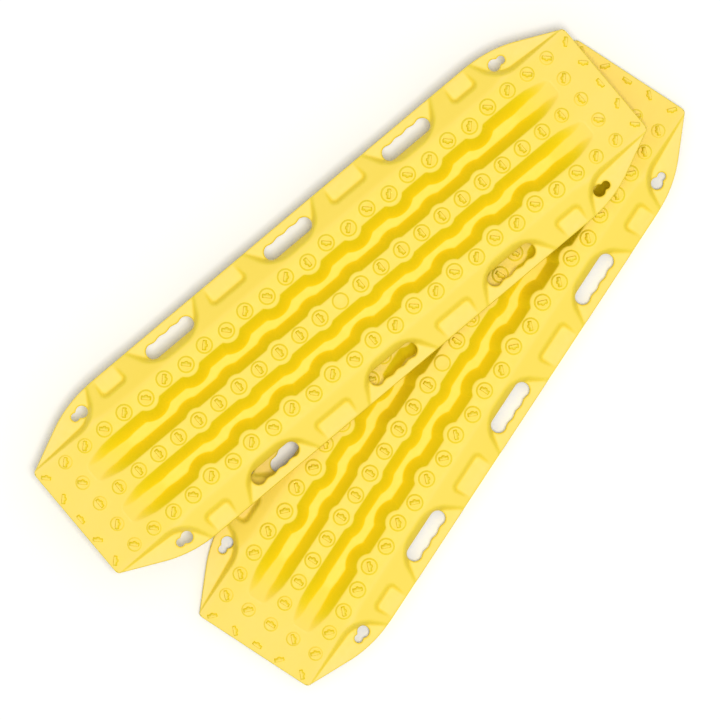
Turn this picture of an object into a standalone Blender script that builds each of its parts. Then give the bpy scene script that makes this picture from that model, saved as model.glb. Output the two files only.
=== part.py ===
"""Pair of traction boards: two identical one-piece mouldings, the second laid askew on the first.

Each board is a thin corrugated shell. Seen in plan it is a long plate with cut corners; two deep channels run
along it between three ridges, the ridges carry rows of round bosses with gripping teeth, and both long sides slope
down to a low rim with hand holes, shallow pockets and a keyhole pad at every corner. The shell is described by two
height functions of the plan position, one for the top and one for the underside, sampled on feature lines.
Units are metres, +Z is up, and board coordinates have X along the board, Y across it and Z = 0 on the ground.
"""

import math

import bpy
import bmesh
import numpy as np
from mathutils import Matrix, Vector
from mathutils.geometry import delaunay_2d_cdt

# ---- driving dimensions of one board -------------------------------------------------------------------------
HALF_LENGTH = 0.575  # board length 1150 mm
HALF_WIDTH = 0.1643  # board width 329 mm
END_HALF_WIDTH = 0.101  # straight part of the end edge
SLANT_START = (0.569, 0.111)  # slanted corner, from the end edge ...
SLANT_END = (0.502, 0.1427)  # ... to the large arc that runs into the long side
SIDE_STRAIGHT = 0.400  # the long side is straight up to here
ARC_MARKS = (0.425, 0.448, 0.475)  # points along the large arc
CORNER_MARKS = (0.535, 0.5745)  # points along the slant and the small corner arc
DECK_HEIGHT = 0.050  # top of the ridges above the ground
DECK_FLAT = 0.400  # the deck is level up to here, then falls to the end
DECK_BEND = 0.060  # length over which the deck bends down
DECK_FALL = 0.20  # slope of the falling part
SIDE_CREASE = 0.106  # the long side slopes down from here
SIDE_FALL = 0.446  # slope of the long side
CREASE_END = 0.495  # the crease between deck and side slope runs out here
WALL = 0.004  # shell thickness
FLOOR_THICKNESS = 0.005  # thickness under the channels
WALL_SLOPE = 2.4  # rise over run of every steep moulded wall
WALL_SHIFT = 0.0027  # how far the back of a steep wall lies behind its face in plan
CHANNEL_CENTRE = 0.0444
CHANNEL_HALF = 0.0284
CHANNEL_END = 0.499
CHANNEL_TAPER = ((0.435, CHANNEL_HALF), (0.457, 0.0273), (0.480, 0.0225), (0.492, 0.0185), (CHANNEL_END, 0.015))
FLOOR_STRAIGHT = 0.410  # up to here the channel's crest and foot lines are straight
RAMP_SLOPE = 0.385
PAD_RADIUS = 0.021  # round pads that swell into the channels around some bosses
PAD_ROW = 0.084  # row of bosses whose pads swell into a channel from outside
OUTER_ROW = 0.089  # row of the other outer bosses
END_ROW = 0.0445  # extra bosses between the rows, on the plain ends
INNER_PADS = range(1, 9, 2)  # boss rows with a pad on the middle ridge
OUTER_PADS = range(0, 10, 2)  # and on the outer ridges
HANDLE_X = (-0.256, 0.0, 0.256)
HANDLE_HALF = 0.04825
HANDLE_INNER = 0.1228
HANDLE_OUTER = 0.1488
FINGER_PITCH = 0.0248
FINGER_DEPTH = 0.0022
RECESS_FOOT = 0.043  # the recess floor widens from here, at the hole's inner edge ...
RECESS_HALF = 0.0735  # ... to here at the rim
RECESS_RADIUS = 0.014
LOW_PAD = 0.020  # height of the hand-hole and keyhole pads
GRIP_THICKNESS = 0.011
GRIP_HALF = 0.060
GRIP_EDGE = HANDLE_OUTER - 0.0035  # the thick grip bar begins just inside the finger hollows
POCKET_X = ((0.130, 0.0335, 0.133), (0.379, 0.022, 0.1325))  # centre, half width and inner edge of the floor
POCKET_HEIGHT = 0.025
POCKET_RADIUS = 0.006
KEY_BIG = (0.447, 0.1357, 0.0102)
KEY_SMALL = (0.461, 0.1357, 0.0070)
KEY_NECK = 0.0060
CORNER_LINE = ((0.590, 0.1097), (0.443, 0.1184), (0.410, 0.172))  # floor outline of the keyhole pad
CORNER_FILLET = 0.020
CORNER_REACH = (0.4165, 0.5655)  # where the pad's floor outline meets the rim
CREASE_REACH = (0.4115, 0.5728)  # where the crease of its wall meets the rim
RIM_CREASE = 0.0021  # width of a recess wall along the rim
LIP_WIDTH = 0.004  # the skirt that runs down from the whole rim
SKIRT_GRIP = 0.009  # the skirt is raised under the hand holes so that fingers pass beneath the grip
SKIRT_END = 0.008  # and at the ends of the board
SKIRT_RUN = ((0.060, 1), (0.077, 0), (0.179, 0), (0.196, 1), (0.316, 1), (0.333, 0), (0.4115, 0), (0.448, 2))
BOSS_RADIUS = 0.0142
BOSS_HEIGHT = 0.0045
BOSS_TAPER = 0.0013
BOSS_SIDES = 8
END_BOSSES = {10: (0.0137, 0.0040), 11: (0.0125, 0.0035), 12: (0.0120, 0.0030), 13: (0.0, 0.0)}  # radius, height
TOOTH_LENGTH = 0.016
TOOTH_WIDTH = 0.0048
TOOTH_HEIGHT = 0.0080
TOOTH_TAPER = 0.0006
ROW_PITCH = 0.044  # spacing of the rows of bosses, closing up slightly where the deck falls away
ROW_CLOSING = 4.2e-6
LAST_ROW = 13
FULL_ROW = 12  # from here on a row has five teeth, and the outer ones lean the other way
STEP_LINE = 0.0004  # plan width of a wall that is nearly vertical

# ---- how the pair lies ---------------------------------------------------------------------------------------
UPPER_TURN = math.radians(-16.72)
UPPER_SHIFT = (-0.0071, 0.1978)
REST_GAP = 0.0003
UPPER_RISE = DECK_HEIGHT + BOSS_HEIGHT + TOOTH_HEIGHT + REST_GAP


def row_x(k):
    """Distance of boss row k from the middle of the board."""
    return ROW_PITCH * k - ROW_CLOSING * k**3


def deck(x):
    """Height of the ridge tops: level in the middle, a parabola, then a straight fall to the end."""
    a = np.abs(x) - DECK_FLAT
    bend = DECK_FALL / (2 * DECK_BEND) * np.clip(a, 0, DECK_BEND) ** 2
    return DECK_HEIGHT - bend - DECK_FALL * np.clip(a - DECK_BEND, 0, None)


def skirt_bottom(x):
    """Height of the skirt's lower edge: on the ground, raised at the hand holes and at the ends."""
    heights = (0.0, SKIRT_GRIP, SKIRT_END)
    return np.interp(np.abs(x), [x for x, _ in SKIRT_RUN], [heights[i] for _, i in SKIRT_RUN])


def side(y):
    return DECK_HEIGHT - SIDE_FALL * np.clip(np.abs(y) - SIDE_CREASE, 0, None)


def half_width(x):
    """Half width of the outline at X: straight side, large arc, slant, small corner arc."""
    a = np.abs(np.asarray(x, float))
    (x1, y1), (x0, y0) = SLANT_START, SLANT_END
    slant = (y0 - y1) / (x0 - x1)
    t = np.clip((a - SIDE_STRAIGHT) / (x0 - SIDE_STRAIGHT), 0, 1)
    span = x0 - SIDE_STRAIGHT
    drop = HALF_WIDTH - y0
    c2 = 3 * drop + slant * span
    c3 = drop - c2
    arc = HALF_WIDTH - (c2 * t**2 + c3 * t**3)
    w = np.where(a > x0, y0 + slant * (a - x0), arc)
    u = np.clip((HALF_LENGTH - a) / (HALF_LENGTH - x1), 0, 1)
    corner = END_HALF_WIDTH + (y1 - END_HALF_WIDTH) * np.sqrt(np.clip(1 - (1 - u) ** 2, 0, None))
    return np.where(a > x1, corner, w)


def outline():
    """Plan outline of the board, counter-clockwise, with a vertex wherever a crease reaches the edge."""
    marks = [0.0, SIDE_STRAIGHT, *ARC_MARKS, SLANT_END[0], SLANT_START[0], *CORNER_REACH, *CREASE_REACH]
    marks += [*CORNER_MARKS, HALF_LENGTH] + [x for x, _ in SKIRT_RUN]
    for h in HANDLE_X:
        for edge in (0.0, RECESS_HALF, RECESS_HALF + RIM_CREASE):
            marks += [abs(h - edge), abs(h + edge)]
    for centre, half, _ in POCKET_X:
        marks += [centre - half, centre + half]
    xs = sorted({round(m, 6) for m in marks})
    quarter = [(x, float(half_width(x))) for x in xs]
    right = [(HALF_LENGTH, y) for y in (0.0, CHANNEL_CENTRE)] + quarter[::-1]
    left = [(-x, y) for x, y in right[::-1] if x > 0]
    top = right + left
    bottom = [(x, -y) for x, y in top[::-1] if y > 0]
    return top + bottom


def arc(cx, cy, r, start, end, count):
    angles = np.radians(np.linspace(start, end, count))
    return [(cx + r * math.cos(a), cy + r * math.sin(a)) for a in angles]


def handle_hole(cx, sign):
    """Long hand hole: straight inner edge, round ends and four finger hollows along its outer edge."""
    r = (HANDLE_OUTER - HANDLE_INNER) / 2
    mid = (HANDLE_OUTER + HANDLE_INNER) / 2
    flat = HANDLE_HALF - r
    points = [(0.0, HANDLE_INNER)] + arc(flat, mid, r, -90, 90, 5)
    for dx in np.linspace(flat - 0.0105, -flat + 0.0105, 9):
        wave = 0.5 * FINGER_DEPTH * (1 + math.cos(2 * math.pi * dx / FINGER_PITCH))
        points.append((dx, HANDLE_OUTER - wave))
    points += arc(-flat, mid, r, 90, 270, 5)
    return [(cx + x, sign * y) for x, y in points]


def key_hole(sx, sy):
    """Keyhole: a large and a small circle joined by a short straight neck."""
    (bx, by, br), (kx, _, kr) = KEY_BIG, KEY_SMALL
    a, b = math.degrees(math.asin(KEY_NECK / br)), math.degrees(math.asin(KEY_NECK / kr))
    points = arc(bx, by, br, a, 360 - a, 11) + arc(kx, by, kr, b - 180, 180 - b, 7)
    return [(sx * x, sy * y) for x, y in points]


def holes():
    found = [handle_hole(x, s) for x in HANDLE_X for s in (1, -1)]
    return found + [key_hole(a, b) for a in (1, -1) for b in (1, -1)]


def round_box(x, y, cx, cy, hx, hy, r):
    """Signed distance to a box with rounded corners, negative inside."""
    qx, qy = np.abs(x - cx) - hx + r, np.abs(y - cy) - hy + r
    outside = np.hypot(np.maximum(qx, 0), np.maximum(qy, 0))
    return outside + np.minimum(np.maximum(qx, qy), 0) - r


def fillet_distance(x, y, corner, n1, n2, radius):
    """Signed distance to two straight edges that meet in a corner rounded by a fillet, negative inside."""
    q1 = (x - corner[0]) * n1[0] + (y - corner[1]) * n1[1] + radius
    q2 = (x - corner[0]) * n2[0] + (y - corner[1]) * n2[1] + radius
    outside = np.hypot(np.maximum(q1, 0), np.maximum(q2, 0))
    return outside + np.minimum(np.maximum(q1, q2), 0) - radius


def corner_distance(ax, ay):
    """Signed distance to the keyhole pad."""
    a, b, c = (np.array(p) for p in CORNER_LINE)
    return fillet_distance(ax, ay, b, *unit_normals(a, b, c), CORNER_FILLET)


def hand_corner(centre):
    """Inner right corner of a hand recess, and the outward normals of its slanted end and its inner edge."""
    rise, run = HALF_WIDTH - HANDLE_INNER, RECESS_HALF - RECESS_FOOT
    slanted = np.array((rise, -run)) / math.hypot(rise, run)
    return np.array((centre + RECESS_FOOT, HANDLE_INNER)), slanted, np.array((0.0, -1.0))


def recesses(ax, ay):
    """Every recess of the long sides as (signed distance, floor height); the pockets run past the rim."""
    past = 0.1
    found = []
    for h in (0.0, HANDLE_X[2]):
        corner, n1, n2 = hand_corner(0.0)
        found.append((fillet_distance(np.abs(ax - h), ay, corner, n1, n2, RECESS_RADIUS), LOW_PAD))
    for centre, half, inner in POCKET_X:
        found.append((round_box(ax, ay, centre, inner + past, half, past, POCKET_RADIUS), POCKET_HEIGHT))
    found.append((corner_distance(ax, ay), LOW_PAD))
    return found


def channel_half(ax):
    """Half width of a channel at its crest, narrowing towards the end of the board."""
    return np.interp(ax, [x for x, _ in CHANNEL_TAPER], [half for _, half in CHANNEL_TAPER])


def channel_distance(ax, ay):
    """How far a point lies inside the channel, in from the crest and from the swelling pads."""
    d = channel_half(ax) - np.abs(ay - CHANNEL_CENTRE)
    for rows, line in ((INNER_PADS, 0.0), (OUTER_PADS, PAD_ROW)):
        for k in rows:
            d = np.minimum(d, np.hypot(ax - row_x(k), ay - line) - PAD_RADIUS)
    return np.where(ax > CHANNEL_END, -1.0, d)


def ramp(ax):
    start = float(deck(CHANNEL_END))
    return start - RAMP_SLOPE * (CHANNEL_END - ax)


def bosses():
    """Every boss as (x, y, radius, height, tooth angle or None); the teeth lean to alternate sides."""
    found = []
    for k in range(-LAST_ROW, LAST_ROW + 1):
        a, s = abs(k), 1 if k > 0 else -1
        radius, height = END_BOSSES.get(a, (BOSS_RADIUS, BOSS_HEIGHT))
        found.append((s * row_x(a), 0.0, radius, height, None if k == 0 else 90.0))
        row = PAD_ROW if a in OUTER_PADS else OUTER_ROW
        lean = 90.0 if k == 0 else s * (45.0 if a % 2 == 0 else -45.0)
        if a >= FULL_ROW:
            lean = -lean
            found += [(s * row_x(a), e * END_ROW, radius, height, -e * lean) for e in (1, -1)]
        found += [(s * row_x(a), e * row, radius, height, e * lean) for e in (1, -1)]
    return found


BOSSES = bosses()
OUTLINE = outline()
HOLES = holes()


def edge_distance(x, y):
    """Distance from points inside the board to its outline."""
    best = np.full(np.shape(x), 1.0)
    for (ax, ay), (bx, by) in zip(OUTLINE, OUTLINE[1:] + OUTLINE[:1]):
        dx, dy = bx - ax, by - ay
        t = np.clip(((x - ax) * dx + (y - ay) * dy) / (dx * dx + dy * dy), 0, 1)
        best = np.minimum(best, np.hypot(x - ax - t * dx, y - ay - t * dy))
    return best


def smooth_top(x, y):
    """Top of the shell without its bosses."""
    ax, ay = np.abs(x), np.abs(y)
    d = channel_distance(ax, ay)
    floor = np.minimum(np.maximum(ramp(ax), FLOOR_THICKNESS), deck(ax))
    z = np.where(d > 0, np.maximum(deck(ax) - WALL_SLOPE * d, floor), deck(ax))
    z = np.minimum(z, side(ay))
    for d, height in recesses(ax, ay):
        z = np.minimum(z, height + WALL_SLOPE * np.maximum(d, 0))
    return z


def top(x, y):
    z = smooth_top(x, y)
    extra = np.zeros_like(z)
    for bx, by, r, h, lean in BOSSES:
        near = np.hypot(x - bx, y - by)
        on = near < max(r - BOSS_TAPER / 2, 0)
        rise = np.where(on, h, 0.0)
        if lean is not None:
            c, s = math.cos(math.radians(lean)), math.sin(math.radians(lean))
            u, v = (x - bx) * c + (y - by) * s, (y - by) * c - (x - bx) * s
            half = TOOTH_TAPER / 2
            tooth = (np.abs(u) < TOOTH_LENGTH / 2 - half) & (np.abs(v) < TOOTH_WIDTH / 2 - half)
            rise = np.where(tooth, h + TOOTH_HEIGHT, rise)
        extra = np.maximum(extra, rise)
    return z + extra


def bottom(x, y):
    """Underside: the same forms one wall thickness lower, with a rim lip and solid grip bars."""
    ax, ay = np.abs(x), np.abs(y)
    d = channel_distance(ax, ay) + WALL_SHIFT
    floor = np.minimum(np.maximum(ramp(ax) - WALL, 0.0), deck(ax) - WALL)
    z = np.where(d > 0, np.maximum(deck(ax) - WALL - WALL_SLOPE * d, floor), deck(ax) - WALL)
    z = np.minimum(z, side(ay) - WALL)
    for d, height in recesses(ax, ay):
        z = np.minimum(z, height - WALL + WALL_SLOPE * np.maximum(d - WALL_SHIFT, 0))
    grip = np.full(np.shape(z), False)
    for h in (0.0, HANDLE_X[2]):
        grip |= (np.abs(ax - h) < GRIP_HALF) & (ay > GRIP_EDGE)
    z = np.where(grip, np.minimum(z, LOW_PAD - GRIP_THICKNESS), z)
    lip = edge_distance(x, y) < LIP_WIDTH + STEP_LINE / 2
    return np.where(lip, skirt_bottom(x), z)


def mirror(lines):
    """Repeat lines given for one quarter of the board in the other three."""
    return [[(sx * x, sy * y) for x, y in line] for line in lines for sx in (1, -1) for sy in (1, -1)]


def both_sides(walk, centre):
    """A walk round the right half of a recess, followed by its mirror image."""
    return walk + [(2 * centre - x, y, -nx, ny) for x, y, nx, ny in walk[::-1]]


def recess_lines(shift, inset):
    """Floor outline and upper crease of every side recess in one quarter."""
    lines = []
    # a recess outline is walked as plan points with outward normals, then pushed out along the wall
    for centre in (0.0, HANDLE_X[2]):
        corner, n1, n2 = hand_corner(centre)
        slope = (RECESS_HALF - RECESS_FOOT) / (HALF_WIDTH - HANDLE_INNER)
        walk = [(centre + RECESS_HALF - slope * LIP_WIDTH * i, HALF_WIDTH - LIP_WIDTH * i, *n1) for i in (0, 1)]
        walk += fillet_walk(corner, n1, n2, RECESS_RADIUS)
        walk = walk + [(0.0, HANDLE_INNER, 0, -1)] if centre == 0.0 else both_sides(walk, centre)
        lines += pushed(walk, LOW_PAD, shift, inset)
    for centre, half, inner in POCKET_X:
        walk = [(centre + half, HALF_WIDTH - LIP_WIDTH * i, 1, 0) for i in (0, 1)]
        for a in np.linspace(0, math.pi / 2, 3):
            c, s = math.cos(a), -math.sin(a)
            walk.append((centre + half - POCKET_RADIUS * (1 - c), inner + POCKET_RADIUS * (1 + s), c, s))
        lines += pushed(both_sides(walk, centre), POCKET_HEIGHT, shift, inset)
    return lines + pushed(corner_walk(), LOW_PAD, shift, inset)


def fillet_walk(corner, n1, n2, radius):
    """Points and normals round the fillet between two edges."""
    angle = math.acos(float(n1 @ n2))
    centre = corner + np.linalg.solve(np.array((n1, n2)), np.array((-radius, -radius)))
    walk = []
    for t in np.linspace(0, angle, 5):
        n = (n1 * math.sin(angle - t) + n2 * math.sin(t)) / math.sin(angle)
        walk.append((*(centre + n * radius), *n))
    return walk


def corner_walk():
    """The keyhole pad's outline: along its long edge, round the fillet and out to the rim."""
    a, b, c = (np.array(p) for p in CORNER_LINE)
    n1, n2 = unit_normals(a, b, c)
    last, first = CORNER_REACH
    walk = [(first, float(half_width(first)), *n1)]
    walk += [(x, line_y(a, b, x), *n1) for x in (0.530, 0.490)]
    walk += fillet_walk(b, n1, n2, CORNER_FILLET)
    walk.append((last, float(half_width(last)), *n2))
    return walk


def unit_normals(a, b, c):
    first, second = b - a, c - b
    n1 = np.array((-first[1], first[0])) / np.hypot(*first)
    n2 = np.array((-second[1], second[0])) / np.hypot(*second)
    return n1, n2


def line_y(a, b, x):
    return float(a[1] + (b[1] - a[1]) * (x - a[0]) / (b[0] - a[0]))


def base_height(x, y):
    """Height of the deck and side slope, without channels and recesses."""
    return min(float(deck(x)), float(side(y)))


def pushed(walk, height, shift, inset):
    """Floor line and crease line of one recess; the crease is where the wall meets the surface above it.

    With no inset the lines end on the rim's own points, otherwise they are kept that far inside the rim.
    """
    floor, crease = [], []
    for x, y, nx, ny in walk:
        run = 0.0
        for _ in range(30):
            surface = base_height(x + (shift + run) * nx, y + (shift + run) * ny)
            run += 0.5 * ((surface - height) / WALL_SLOPE - run)
        floor.append((x + shift * nx, y + shift * ny))
        crease.append((x + (shift + max(run, 0.0)) * nx, y + (shift + max(run, 0.0)) * ny))
    if inset:
        return [[(x, min(y, float(half_width(x)) - inset)) for x, y in line] for line in (floor, crease)]
    for line in (floor, crease):
        for i in (0, -1):
            if line[i][1] > SLANT_END[1] or line[i][0] > CORNER_REACH[1] - STEP_LINE:
                line[i] = min(OUTLINE, key=lambda p: math.dist(p, line[i]))
    return [floor, crease]


def channel_lines(depth, shift, low):
    """Crest and foot lines of one channel in one quarter; depth is the wall's width in plan."""
    foot = CHANNEL_END - (float(deck(CHANNEL_END)) - low) / RAMP_SLOPE
    lines = []
    for centre, rows, sign in ((0.0, INNER_PADS, 1), (PAD_ROW, OUTER_PADS, -1)):

        def wall_point(x, inward):
            """A point of the wall, as far in from the crest as asked, measured out from the pads' row."""
            return x, abs(CHANNEL_CENTRE - sign * (float(channel_half(x)) - inward) - centre)

        for gap in (0.0, depth):
            reach = PAD_RADIUS - shift + gap
            straight = wall_point(0.0, gap - shift)[1]
            swing = math.sqrt(max(reach**2 - straight**2, 0))
            line = [(0.0, straight)] if sign > 0 else []
            for k in rows:
                steps = [s for s in np.linspace(-swing, swing, 5) if row_x(k) + s > -1e-9]
                line += [(row_x(k) + s, math.sqrt(reach**2 - s * s)) for s in steps]
            line.append(wall_point(FLOOR_STRAIGHT, gap - shift))
            if gap:
                line.append(wall_point(foot, gap - shift))
                for x, _ in CHANNEL_TAPER[:-1]:
                    line.append(wall_point(x, float(deck(x) - ramp(x)) / WALL_SLOPE - shift))
                line.append(wall_point(CHANNEL_END, 0.0))
            else:
                line += [wall_point(x, -shift) for x, _ in CHANNEL_TAPER]
            lines.append([(x, centre + sign * y) for x, y in line])
    return lines


def offset_outline(distance):
    """The outline moved inwards by a distance, corner by corner."""
    points = [Vector(p) for p in OUTLINE]
    moved = []
    for i, p in enumerate(points):
        before, after = (p - points[i - 1]).normalized(), (points[(i + 1) % len(points)] - p).normalized()
        n1, n2 = Vector((-before.y, before.x)), Vector((-after.y, after.x))
        n = (n1 + n2).normalized()
        moved.append(tuple(p + n * (distance / max(n.dot(n1), 0.3))))
    return moved


def triangulate(closed_lines, open_lines, height):
    """Triangles between all feature lines, kept inside the outline and out of the holes."""
    index, points, edges = {}, [], []

    def add(p):
        key = (round(p[0], 6), round(p[1], 6))
        if key not in index:
            index[key] = len(points)
            points.append(Vector(key))
        return index[key]

    for group, closed in ((closed_lines, True), (open_lines, False)):
        for line in group:
            ids = [add(p) for p in line]
            pairs = list(zip(ids, ids[1:])) + ([(ids[-1], ids[0])] if closed else [])
            edges += [e for e in pairs if e[0] != e[1]]
    verts, _, faces, *_ = delaunay_2d_cdt(points, edges, [], 0, 1e-7)
    xy = np.array([tuple(v) for v in verts])
    tris = np.array([tuple(f) for f in faces])
    middle = xy[tris].mean(axis=1)
    keep = inside(middle, OUTLINE)
    for hole in HOLES:
        keep &= ~inside(middle, hole)
    tris = tris[keep]
    a, b, c = xy[tris[:, 0]], xy[tris[:, 1]], xy[tris[:, 2]]
    area = (b[:, 0] - a[:, 0]) * (c[:, 1] - a[:, 1]) - (b[:, 1] - a[:, 1]) * (c[:, 0] - a[:, 0])
    tris[area < 0] = tris[area < 0][:, ::-1]
    z = height(xy[:, 0], xy[:, 1])
    return xy, z, tris


def inside(points, polygon):
    """Even-odd test of many points against one polygon."""
    x, y = points[:, 0], points[:, 1]
    found = np.zeros(len(points), bool)
    for (ax, ay), (bx, by) in zip(polygon, polygon[1:] + polygon[:1]):
        if ay != by:
            cross = ((ay > y) != (by > y)) & (x < (bx - ax) * (y - ay) / (by - ay) + ax)
            found ^= cross
    return found


def boss_lines():
    lines = []
    for bx, by, r, h, lean in BOSSES:
        if r > 0:
            angles = (np.arange(BOSS_SIDES) + 0.5) * 2 * math.pi / BOSS_SIDES
            for radius in (r, r - BOSS_TAPER):
                lines.append([(bx + radius * math.cos(a), by + radius * math.sin(a)) for a in angles])
        if lean is not None:
            c, s = math.cos(math.radians(lean)), math.sin(math.radians(lean))
            for inset in (0.0, TOOTH_TAPER):
                u, v = TOOTH_LENGTH / 2 - inset, TOOTH_WIDTH / 2 - inset
                box = [(u, v), (-u, v), (-u, -v), (u, -v)]
                lines.append([(bx + p * c - q * s, by + p * s + q * c) for p, q in box])
    return lines


def crease_y(x):
    """Where the falling deck meets the side slope."""
    return SIDE_CREASE + float(DECK_HEIGHT - deck(x)) / SIDE_FALL


def cross_lines():
    """Lines across the board where the deck bends down, and along it where the sides start."""
    bend = DECK_FLAT + DECK_BEND / 2
    lines = []
    for x in (DECK_FLAT, bend, DECK_FLAT + DECK_BEND):
        crests = [CHANNEL_CENTRE + e * float(channel_half(x)) for e in (-1, 1)]
        stops = sorted([*crests, crease_y(x)] + [-y for y in (*crests, crease_y(x))])
        for low, high in zip(stops[::2], stops[1::2]):
            lines += [[(sx * x, low), (sx * x, high)] for sx in (1, -1)]
    rim = [(x, crease_y(x)) for x in (0, DECK_FLAT, bend, DECK_FLAT + DECK_BEND, CREASE_END)]
    return lines + mirror([rim])


def build_board():
    """One board in its own coordinates: top skin, underside and the walls that join them."""
    depth = (DECK_HEIGHT - FLOOR_THICKNESS) / WALL_SLOPE
    outlines = [OUTLINE] + HOLES
    above = mirror(channel_lines(depth, 0.0, FLOOR_THICKNESS) + recess_lines(0.0, 0.0)) + cross_lines()
    top_xy, top_z, top_tris = triangulate(outlines + boss_lines(), above, top)
    under_depth = (DECK_HEIGHT - WALL) / WALL_SLOPE
    below = mirror(channel_lines(under_depth, WALL_SHIFT, WALL) + recess_lines(WALL_SHIFT, LIP_WIDTH / 2))
    lips = [offset_outline(LIP_WIDTH), offset_outline(LIP_WIDTH + STEP_LINE)]
    low_xy, low_z, low_tris = triangulate(outlines + lips, below + grip_lines() + cross_lines(), bottom)
    mesh = bpy.data.meshes.new("board")
    work = bmesh.new()
    upper = [work.verts.new((x, y, z)) for (x, y), z in zip(top_xy, top_z)]
    lower = [work.verts.new((x, y, z)) for (x, y), z in zip(low_xy, low_z)]
    for tri in top_tris:
        work.faces.new([upper[i] for i in tri])
    for tri in low_tris:
        work.faces.new([lower[i] for i in tri[::-1]])
    work.edges.ensure_lookup_table()
    border = [v for v in lower if any(e.is_boundary for e in v.link_edges)]
    below_at = {(round(v.co.x, 6), round(v.co.y, 6)): v for v in border}
    top_set = set(upper)
    for edge in [e for e in work.edges if e.is_boundary and e.verts[0] in top_set]:
        loop = edge.link_loops[0]
        a, b = loop.vert, loop.link_loop_next.vert
        c = below_at[round(a.co.x, 6), round(a.co.y, 6)]
        d = below_at[round(b.co.x, 6), round(b.co.y, 6)]
        work.faces.new([b, a, c, d])
    loose = [v for v in work.verts if not v.link_faces]
    bmesh.ops.delete(work, geom=loose, context="VERTS")
    bmesh.ops.triangulate(work, faces=[f for f in work.faces if len(f.verts) > 3])
    bmesh.ops.recalc_face_normals(work, faces=work.faces)
    work.to_mesh(mesh)
    work.free()
    return mesh


def grip_lines():
    """The ends of the thick grip bars on the underside."""
    lines = []
    for h in (0.0, HANDLE_X[2]):
        x = h + GRIP_HALF
        lines.append([(x, HALF_WIDTH - LIP_WIDTH - 0.001), (x, HANDLE_OUTER + 0.0008)])
    return mirror(lines)


def plastic(name, colour):
    material = bpy.data.materials.new(name)
    material.use_nodes = True
    shader = material.node_tree.nodes["Principled BSDF"]
    shader.inputs["Base Color"].default_value = (*colour, 1.0)
    shader.inputs["Roughness"].default_value = 0.5
    return material


def main():
    for thing in list(bpy.data.objects):
        bpy.data.objects.remove(thing, do_unlink=True)
    base = build_board()
    lay = Matrix.Translation((*UPPER_SHIFT, UPPER_RISE)) @ Matrix.Rotation(UPPER_TURN, 4, "Z")
    plan = np.array(OUTLINE + [tuple((lay @ Vector((x, y, 0)))[:2]) for x, y in OUTLINE])
    middle = (plan.min(axis=0) + plan.max(axis=0)) / 2
    centre = Matrix.Translation((-middle[0], -middle[1], 0.0))
    for name, place in (("lower_board", centre), ("upper_board", centre @ lay)):
        mesh = base.copy()
        mesh.transform(place)
        mesh.materials.clear()
        mesh.materials.append(plastic(name + "_nylon", (0.93, 0.74, 0.04)))
        mesh.name = name
        board = bpy.data.objects.new(name, mesh)
        bpy.context.scene.collection.objects.link(board)


main()
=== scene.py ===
# %% [markdown]
# # A pair of traction boards
#
# A traction board is pushed under a wheel that spins in snow, sand or mud. It is one injection moulding of
# glass-filled nylon: a corrugated shell with teeth on top and hand holes along its sides. Two of the same
# board lie here, one askew on the other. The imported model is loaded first, because the overall size and the
# place of each board come from it.

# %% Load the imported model
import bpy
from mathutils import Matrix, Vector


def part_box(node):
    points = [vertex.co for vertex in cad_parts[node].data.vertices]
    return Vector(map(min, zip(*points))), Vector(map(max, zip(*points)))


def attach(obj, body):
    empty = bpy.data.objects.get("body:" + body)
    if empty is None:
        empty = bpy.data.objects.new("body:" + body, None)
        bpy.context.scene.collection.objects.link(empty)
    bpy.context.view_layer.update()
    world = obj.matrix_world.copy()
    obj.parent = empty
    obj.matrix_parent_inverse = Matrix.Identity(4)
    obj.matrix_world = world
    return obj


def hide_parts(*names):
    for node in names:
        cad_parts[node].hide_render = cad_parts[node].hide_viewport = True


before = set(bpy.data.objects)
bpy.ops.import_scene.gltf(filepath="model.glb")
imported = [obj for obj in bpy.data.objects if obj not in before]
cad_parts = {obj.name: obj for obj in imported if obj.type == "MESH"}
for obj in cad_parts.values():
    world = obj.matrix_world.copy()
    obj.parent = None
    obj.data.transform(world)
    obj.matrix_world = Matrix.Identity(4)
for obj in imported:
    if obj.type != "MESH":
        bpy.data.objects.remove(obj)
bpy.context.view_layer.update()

import math

import bpy
import numpy as np
from mathutils import Matrix, Vector

MM = 0.001

# %% [markdown]
# ## Where the two boards lie
#
# A board is the same when turned by half a turn, so the middle of its box is the middle of the board, whichever
# way it is turned. The lower board lies square to the axes. The upper one is turned about the vertical. A box
# doesn't say how far the thing in it is turned, so the angle is kept here as a named value.

# %% Places of the boards
UPPER_TURN = math.radians(-16.72)


def board_place(node, turn):
    """The matrix that carries a board from its own coordinates to where its CAD node lies."""
    low, high = (Vector(c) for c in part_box(node))
    middle = (low + high) / 2
    return Matrix.Translation((middle.x, middle.y, low.z)) @ Matrix.Rotation(turn, 4, "Z")


TURNS = {"lower_board": 0.0, "upper_board": UPPER_TURN}
PLACES = {board: board_place(board, turn) for board, turn in TURNS.items()}
LOW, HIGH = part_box("lower_board")
HALF_LENGTH = (HIGH[0] - LOW[0]) / 2
HALF_WIDTH = (HIGH[1] - LOW[1]) / 2
TOTAL_HEIGHT = HIGH[2] - LOW[2]
print(f"board {2 * HALF_LENGTH / MM:.0f} x {2 * HALF_WIDTH / MM:.0f} x {TOTAL_HEIGHT / MM:.1f} mm")

# %% [markdown]
# ## The board's main forms
#
# The shell is moulded between one steel half above and one below, so nothing is undercut: over each point of
# the plan there is exactly one top and one underside. That makes two height functions the natural way to
# model it. Everything is worked out for one quarter, in the absolute values of X and Y, and repeats in the
# other three.

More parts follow.
